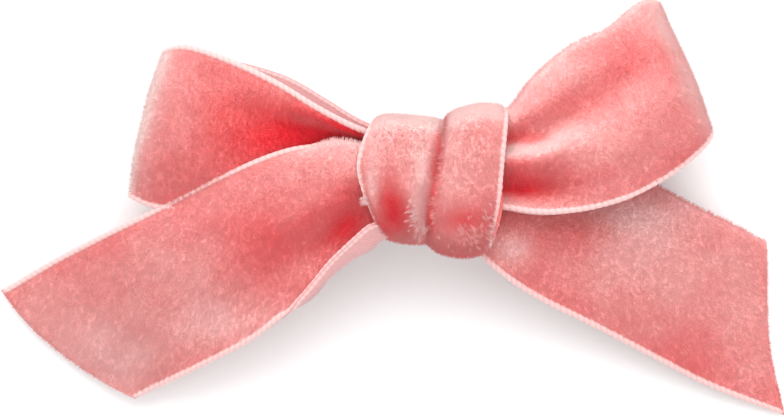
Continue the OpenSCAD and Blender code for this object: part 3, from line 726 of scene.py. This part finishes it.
def selvedges(name, grid, normals, outward):
    """The two woven edges: flat cords round the cloth's edge, with a slanted turn of yarn at each stitch."""
    sizes = bpy.context.scene.barrette_ribbon
    points, faces, turn_highlights, uvs = [], [], [], []
    around = 12
    for side in (0, -1):
        edge, inner = grid[:, side], grid[:, 1 if side == 0 else -2]
        normal = normals[:, side] * outward
        step = np.linalg.norm(np.diff(edge, axis=0), axis=1)
        walked = np.concatenate([[0], np.cumsum(step)])
        count = int(walked[-1] / sizes.stitch * 7)
        wanted = np.linspace(0, walked[-1], count)
        line, inward, up = (np.stack([np.interp(wanted, walked, f[:, k]) for k in range(3)], axis=1)
                            for f in (edge, inner - edge, normal))
        inward, up = unit(inward), unit(up)
        centre = line + inward * sizes.selvedge * 0.45 - up * 0.1 * MM
        angle = np.linspace(0, 2 * math.pi, around, endpoint=False)
        slant = wanted[:, None] / sizes.stitch * 2 * math.pi + 1.1 * np.cos(angle)
        bulge = np.abs(np.sin(slant / 2)) ** 0.8
        wide = sizes.selvedge * 0.5 * (0.92 + 0.1 * bulge)
        thick = 0.43 * MM * (0.86 + 0.16 * bulge)
        taper = np.clip(np.minimum(np.arange(count), np.arange(count)[::-1]) / 4, 0.15, 1)[:, None]
        ring = (centre[:, None] + inward[:, None] * (np.cos(angle) * wide * taper)[..., None]
                + up[:, None] * (np.sin(angle) * thick * taper)[..., None])
        base = sum(len(p) for p in points)
        points.append(ring.reshape(-1, 3))
        # Painted highlight where each turn of yarn bulges, and painted shade in between.
        turn_highlights.append((bulge * 0.8).ravel())
        uvs.append(np.stack(np.broadcast_arrays(wanted[:, None], angle * 0.2 * MM), axis=-1).reshape(-1, 2))
        i, j = np.meshgrid(np.arange(count - 1), np.arange(around), indexing="ij")
        a, b = base + i * around + j, base + i * around + (j + 1) % around
        faces += np.stack([a, b, b + around, a + around], axis=-1).reshape(-1, 4).tolist()
        faces.append([base + k for k in range(around)][::-1])
        faces.append([base + (count - 1) * around + k for k in range(around)])
    mesh = bpy.data.meshes.new(name)
    mesh.from_pydata(np.concatenate(points).tolist(), [], faces)
    mesh.materials.append(shared(selvedge_yarn))
    piece = bpy.data.objects.new(name, mesh)
    bpy.context.scene.collection.objects.link(piece)
    set_point_values(piece, "turn", np.concatenate(turn_highlights))
    set_uv(piece, np.concatenate(uvs))
    face_outwards(piece)
    piece.data.shade_smooth()
    return piece


def face_outwards(piece):
    select_only(piece)
    bpy.ops.object.mode_set(mode="EDIT")
    bpy.ops.mesh.select_all(action="SELECT")
    bpy.ops.mesh.normals_make_consistent(inside=False)
    bpy.ops.object.mode_set(mode="OBJECT")
    piece.select_set(False)


def ride_in_velvet(*pieces):
    for piece in pieces:
        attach(piece, "clip_base")


def make_run(name, rows, outward, seed, along, splits):
    """One run of ribbon with its ground, pile and selvedges, in the place of the CAD node of that name."""
    grid = run_surface(rows, along, 33)
    normals = normals_of(grid) * outward
    grid = ripple(grid, normals)
    normals = normals_of(grid) * outward
    shade = nap_shade(name, grid, normals)
    ground = woven_ground(name + "_ribbon", grid, normals, shade, outward)
    edges = selvedges(name + "_selvedges", grid, normals_of(grid), outward)
    bounds = [0, *splits, along - 1]
    piles = [pile(f"{name}_pile_{'abc'[k]}", grid, normals, shade, seed + k, (bounds[k], bounds[k + 1]))
             for k in range(len(bounds) - 1)]
    ride_in_velvet(ground, edges, *piles)
    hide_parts(name)
    return grid


def knot_surface(around, across):
    """A grid of points in metres over the knot's wrap, which closes on itself behind."""
    rows = np.array([even_steps(row, across) for row in KNOT])
    looped = np.concatenate([rows[-2:], rows, rows[:3]])
    at = np.linspace(0, len(rows), around, endpoint=False)
    return np.roll(curve_through(looped, 2 + at), around // 8, axis=0) * MM


def knot_plies(name, grid, normals):
    """The crumpled plies inside the knot, which show as folds at both ends of the wrap."""
    inside = grid[:, 5:-5] - normals[:, 5:-5] * 1.0 * MM
    theta = np.linspace(0, 2 * math.pi, len(grid), endpoint=False)
    rings = list(inside.swapaxes(0, 1))
    for side, ring in ((-1, inside[:, 0]), (1, inside[:, -1])):
        centre = ring.mean(axis=0)
        caps = []
        for k in range(1, 8):
            reach = math.sqrt(1 - (k / 7.5) ** 2)
            folds = 1 + 0.09 * np.sin(6 * theta + side) * k / 7 + 0.05 * np.sin(11 * theta) * k / 7
            cap = centre + (ring - centre) * (reach * folds)[:, None]
            cap[:, 0] = centre[0] + side * (0.25 * k + 0.25 * np.sin(6 * theta + 2)) * MM
            caps.append(cap)
        rings = caps[::-1] + rings if side < 0 else rings + caps
    rings = np.array(rings)
    ends = [rings[0].mean(axis=0), rings[-1].mean(axis=0)]
    count, around = rings.shape[:2]
    i, j = np.meshgrid(np.arange(count - 1), np.arange(around), indexing="ij")
    a, b = i * around + j, i * around + (j + 1) % around
    faces = np.stack([a, b, b + around, a + around], axis=-1).reshape(-1, 4).tolist()
    last = (count - 1) * around
    for k in range(around):
        faces.append([count * around, (k + 1) % around, k])
        faces.append([count * around + 1, last + k, last + (k + 1) % around])
    mesh = bpy.data.meshes.new(name)
    mesh.from_pydata(np.concatenate([rings.reshape(-1, 3), ends]).tolist(), [], faces)
    mesh.materials.append(shared(velvet_ground))
    piece = bpy.data.objects.new(name, mesh)
    bpy.context.scene.collection.objects.link(piece)
    # Painted shade: the plies inside the knot are painted deeper than the wrap.
    set_point_values(piece, "nap_and_painted_light", np.full(len(mesh.vertices), 0.3))
    across = np.concatenate([rings.reshape(-1, 3)[:, 0], [0, 0]])
    along = np.concatenate([np.tile(theta * 9 * MM, count), [0, 0]])
    set_uv(piece, np.stack([along, across], axis=-1))
    face_outwards(piece)
    piece.data.shade_smooth()
    return piece


# ---- Operators ----

class BARRETTE_OT_stage(Operator):
    """Adds the paper floor, the soft lights and the camera that looks straight at the bow"""
    bl_idname = "barrette.stage"
    bl_label = "Stage"

    def execute(self, context):
        low, high = Vector(cad_bounds[0]), Vector(cad_bounds[1])
        middle = Vector((low.x + high.x, low.y + high.y, 0)) / 2
        bpy.ops.object.select_all(action="DESELECT")
        bpy.ops.mesh.primitive_plane_add(size=3, location=(middle.x, middle.y, low.z - 0.0001))
        floor = context.active_object
        floor.name = "floor"
        bpy.ops.object.transform_apply(location=True, rotation=True, scale=True)
        floor.data.materials.append(shared(paper_floor))

        lens, sensor = 400, 36
        camera_data = bpy.data.cameras.new("camera")
        camera_data.lens = lens
        camera_data.sensor_width = sensor
        camera = bpy.data.objects.new("camera", camera_data)
        distance = FRAMED_WIDTH * lens / sensor
        camera.location = (*CAMERA_PLACE, FRAMED_HEIGHT + distance)
        context.scene.collection.objects.link(camera)
        context.scene.camera = camera

        for name, place, size, power in LIGHTS:
            light_data = bpy.data.lights.new(name, "AREA")
            light_data.size = size
            light_data.energy = power
            light = bpy.data.objects.new(name, light_data)
            light.location = place
            aim = middle - light.location
            light.rotation_euler = aim.to_track_quat("-Z", "Y").to_euler()
            context.scene.collection.objects.link(light)
        world = bpy.data.worlds.new("studio")
        world.use_nodes = True
        world.node_tree.nodes["Background"].inputs["Color"].default_value = (1, 1, 1, 1)
        world.node_tree.nodes["Background"].inputs["Strength"].default_value = 1.0
        context.scene.world = world
        context.scene.view_settings.view_transform = "Standard"
        return {"FINISHED"}


class BARRETTE_OT_clip(Operator):
    """Finishes the clip's plated steel pieces"""
    bl_idname = "barrette.clip"
    bl_label = "Clip finishes"

    def execute(self, context):
        sheet = shared(plated_steel, "plated_sheet", 1.0, 0.26, 0.82)
        turned = shared(plated_steel, "plated_rivet_metal", 2.0, 0.16, 0.9)
        for name in ("base_plate", "catch_plate", "catch_prong_rear", "catch_prong_front", "clasp_arm",
                     "tension_bar"):
            finish_node(name, sheet)
        for name in ("hinge_pin", "catch_rivet"):
            finish_node(name, turned)
        finish_node("glue_pad", shared(hot_melt))
        return {"FINISHED"}


def finish_node(name, material):
    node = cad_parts[name]
    for slot in node.material_slots:
        slot.material = material
    if not node.material_slots:
        node.data.materials.append(material)


class BARRETTE_OT_knot(Operator):
    """Makes the knot's wrap with its pleat, pile and selvedges, and the plies inside it"""
    bl_idname = "barrette.knot"
    bl_label = "Knot"

    def execute(self, context):
        grid = knot_surface(176, 65)
        normals = normals_of(grid, closed=True)
        shade = nap_shade("knot", grid, normals)
        ground = woven_ground("knot_ribbon", grid, normals, shade, 1, closed=True)
        once_round = np.concatenate([grid, grid[:1]])
        edges = selvedges("knot_selvedges", once_round, np.concatenate([normals, normals[:1]]), 1)
        tufts = pile("knot_pile", grid, normals, shade, 40, closed=True, crowding=1.25)
        locks = teased_pile("knot_locks", grid, normals, 45)
        plies = knot_plies("knot_plies", grid, normals)
        ride_in_velvet(ground, edges, tufts, locks, plies)
        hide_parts("knot_wrap")
        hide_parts("knot_core")
        return {"FINISHED"}


class BARRETTE_OT_loops(Operator):
    """Makes the bow's two loops"""
    bl_idname = "barrette.loops"
    bl_label = "Loops"

    def execute(self, context):
        make_run("left_loop", LEFT_LOOP, 1, 10, 150, [72])
        make_run("right_loop", RIGHT_LOOP, -1, 20, 150, [76])
        return {"FINISHED"}


class BARRETTE_OT_tails(Operator):
    """Makes the bow's two tails"""
    bl_idname = "barrette.tails"
    bl_label = "Tails"

    def execute(self, context):
        make_run("left_tail", LEFT_TAIL, 1, 30, 100, [52])
        make_run("right_tail", RIGHT_TAIL, -1, 35, 90, [])
        return {"FINISHED"}


class BARRETTE_PT_panel(Panel):
    """Lists what the barrette is built from"""
    bl_idname = "BARRETTE_PT_panel"
    bl_label = "Barrette"
    bl_space_type = "VIEW_3D"
    bl_region_type = "UI"
    bl_category = "Barrette"

    def draw(self, context):
        for group in (context.scene.barrette_ribbon, context.scene.barrette_colours):
            box = self.layout.box()
            for key in group.__annotations__:
                box.prop(group, key)
        for operator in OPERATORS:
            self.layout.operator(operator.bl_idname)


OPERATORS = (BARRETTE_OT_stage, BARRETTE_OT_clip, BARRETTE_OT_knot, BARRETTE_OT_loops, BARRETTE_OT_tails)
GROUPS = (BarretteRibbonSizes, BarretteColours)


def register():
    for kind in (*GROUPS, *OPERATORS, BARRETTE_PT_panel):
        bpy.utils.register_class(kind)
    bpy.types.Scene.barrette_ribbon = PointerProperty(type=BarretteRibbonSizes)
    bpy.types.Scene.barrette_colours = PointerProperty(type=BarretteColours)


def unregister():
    del bpy.types.Scene.barrette_colours
    del bpy.types.Scene.barrette_ribbon
    for kind in reversed((*GROUPS, *OPERATORS, BARRETTE_PT_panel)):
        bpy.utils.unregister_class(kind)


def main():
    register()
    bpy.ops.barrette.stage()
    bpy.ops.barrette.clip()
    bpy.ops.barrette.knot()
    bpy.ops.barrette.loops()
    bpy.ops.barrette.tails()


if __name__ == "__main__":
    main()
